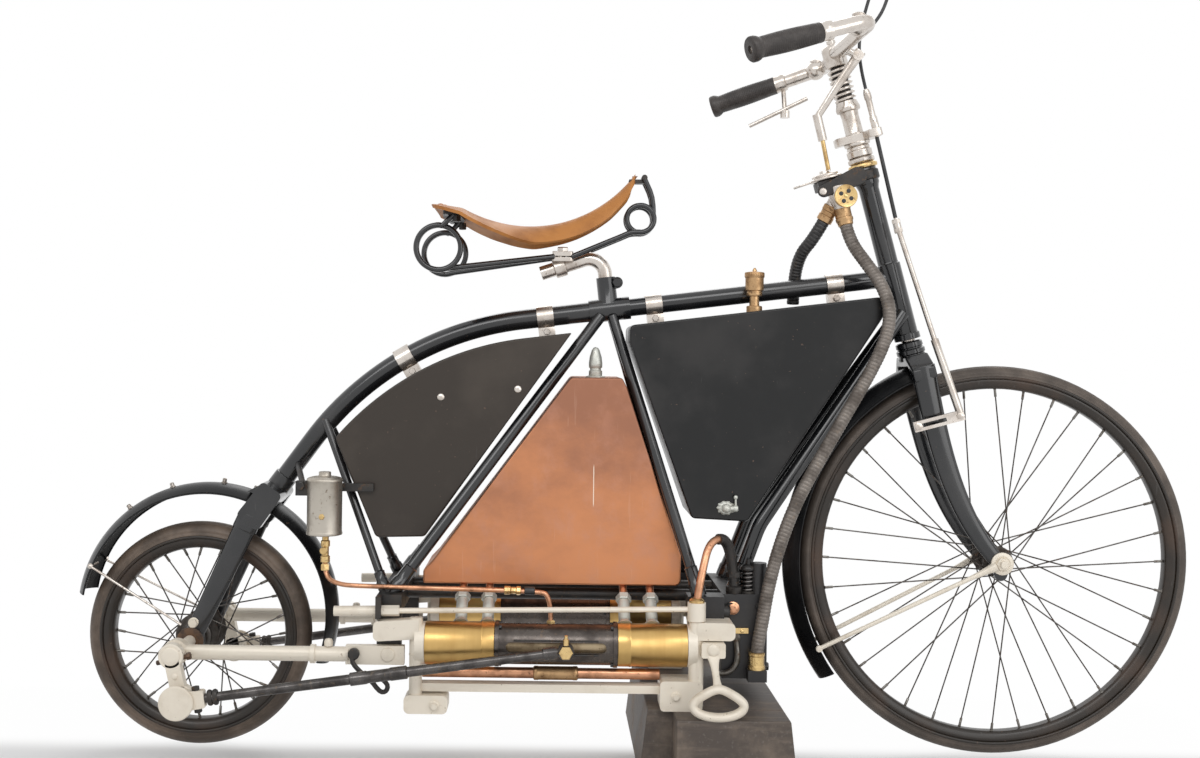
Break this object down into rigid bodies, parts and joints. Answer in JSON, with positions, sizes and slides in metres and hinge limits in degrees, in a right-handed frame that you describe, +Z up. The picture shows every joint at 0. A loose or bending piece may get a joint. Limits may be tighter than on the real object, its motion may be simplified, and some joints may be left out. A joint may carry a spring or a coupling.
{
  "type": "early motor bicycle",
  "caption": "Early four-cylinder motor bicycle with a flat engine, copper water tank, sprung saddle and small rear wheel, on a timber plinth.",
  "frame": {"origin": "on the floor under the middle of the machine's length, in its mid-plane", "axes": "+X forward along the machine, +Y to the rider's left, +Z up"},
  "size_m": [1.7417, 0.4978, 1.2396],
  "materials": {
    "tyre_rubber": "matte",
    "black_enamel": "gloss",
    "steel_dark": "satin",
    "steel_bright": "satin",
    "nickel": "satin",
    "black_iron": "satin",
    "brass": "satin",
    "grey_cast": "matte",
    "cream_paint": "satin",
    "copper": "satin",
    "grey_tin": "matte",
    "tan_leather": "satin",
    "hose_armour": "satin",
    "black_rubber": "matte",
    "plinth_wood": "matte"
  },
  "bodies": {
    "root": {"head_tube": "black_enamel", "top_tube": "black_enamel", "backbone": "black_enamel", "seat_lug": "black_enamel", "seat_stays": "black_enamel", "down_tubes": "black_enamel", "rear_fork": "black_enamel", "tube_clips": "nickel", "engine_barrels": "black_iron", "brass_jackets": "brass", "crossheads": "steel_bright", "rear_heads": "grey_cast", "front_heads": "grey_cast", "tie_rods": "cream_paint", "copper_pipes": "copper", "engine_bearer": "black_iron", "gear_case": "black_iron", "side_stays": "cream_paint", "rear_case": "black_enamel", "copper_tank": "copper", "front_tank": "black_enamel", "brass_fittings": "brass", "water_unions": "copper", "oil_can": "grey_tin", "saddle_post": "nickel", "saddle_springs": "black_iron", "saddle_leather": "tan_leather", "mixing_valve": "black_iron", "hose_inlet": "hose_armour", "hose_air": "hose_armour", "rear_guard": "black_enamel", "footrests": "nickel", "plinth_back": "plinth_wood", "plinth_front": "plinth_wood"},
    "steering": {"front_guard": "black_enamel", "front_fork": "black_enamel", "steering_stem": "nickel", "front_axle": "cream_paint", "handlebar": "nickel", "grips": "black_rubber", "bar_levers": "nickel", "front_brake": "cream_paint", "brake_cable": "black_rubber"},
    "front_wheel": {"front_tyre": "tyre_rubber", "front_rim": "black_enamel", "front_spokes": "steel_dark"},
    "rear_wheel": {"rear_tyre": "tyre_rubber", "rear_rim": "black_enamel", "rear_spokes": "steel_dark", "crankshaft": "steel_bright"},
    "rod_near": {"rod_near": "steel_bright"},
    "rod_far": {"rod_far": "steel_bright"}
  },
  "joints": [
    {"name": "steering", "type": "hinge", "parent": "root", "child": "steering", "pos_m": [0.42928, 0, 0.64705], "axis": [-0.2622, 0, 0.965], "range_deg": [-35, 35]},
    {"name": "front_wheel_spin", "type": "hinge", "parent": "steering", "child": "front_wheel", "pos_m": [0.56625, 0, 0.305], "axis": [0, 1, 0], "continuous": true},
    {"name": "rear_wheel_spin", "type": "hinge", "parent": "root", "child": "rear_wheel", "pos_m": [-0.68075, 0, 0.175], "axis": [0, 1, 0], "continuous": true},
    {"name": "rod_near_swing", "type": "hinge", "parent": "rear_wheel", "child": "rod_near", "pos_m": [-0.66635, -0.192, 0.11264], "axis": [0, 1, 0], "continuous": true},
    {"name": "rod_far_swing", "type": "hinge", "parent": "rear_wheel", "child": "rod_far", "pos_m": [-0.66635, 0.192, 0.11264], "axis": [0, 1, 0], "continuous": true}
  ],
  "couplings": [
    {"joint": "rod_near_swing", "follows": "rear_wheel_spin", "ratio": -1},
    {"joint": "rod_far_swing", "follows": "rear_wheel_spin", "ratio": -1}
  ]
}
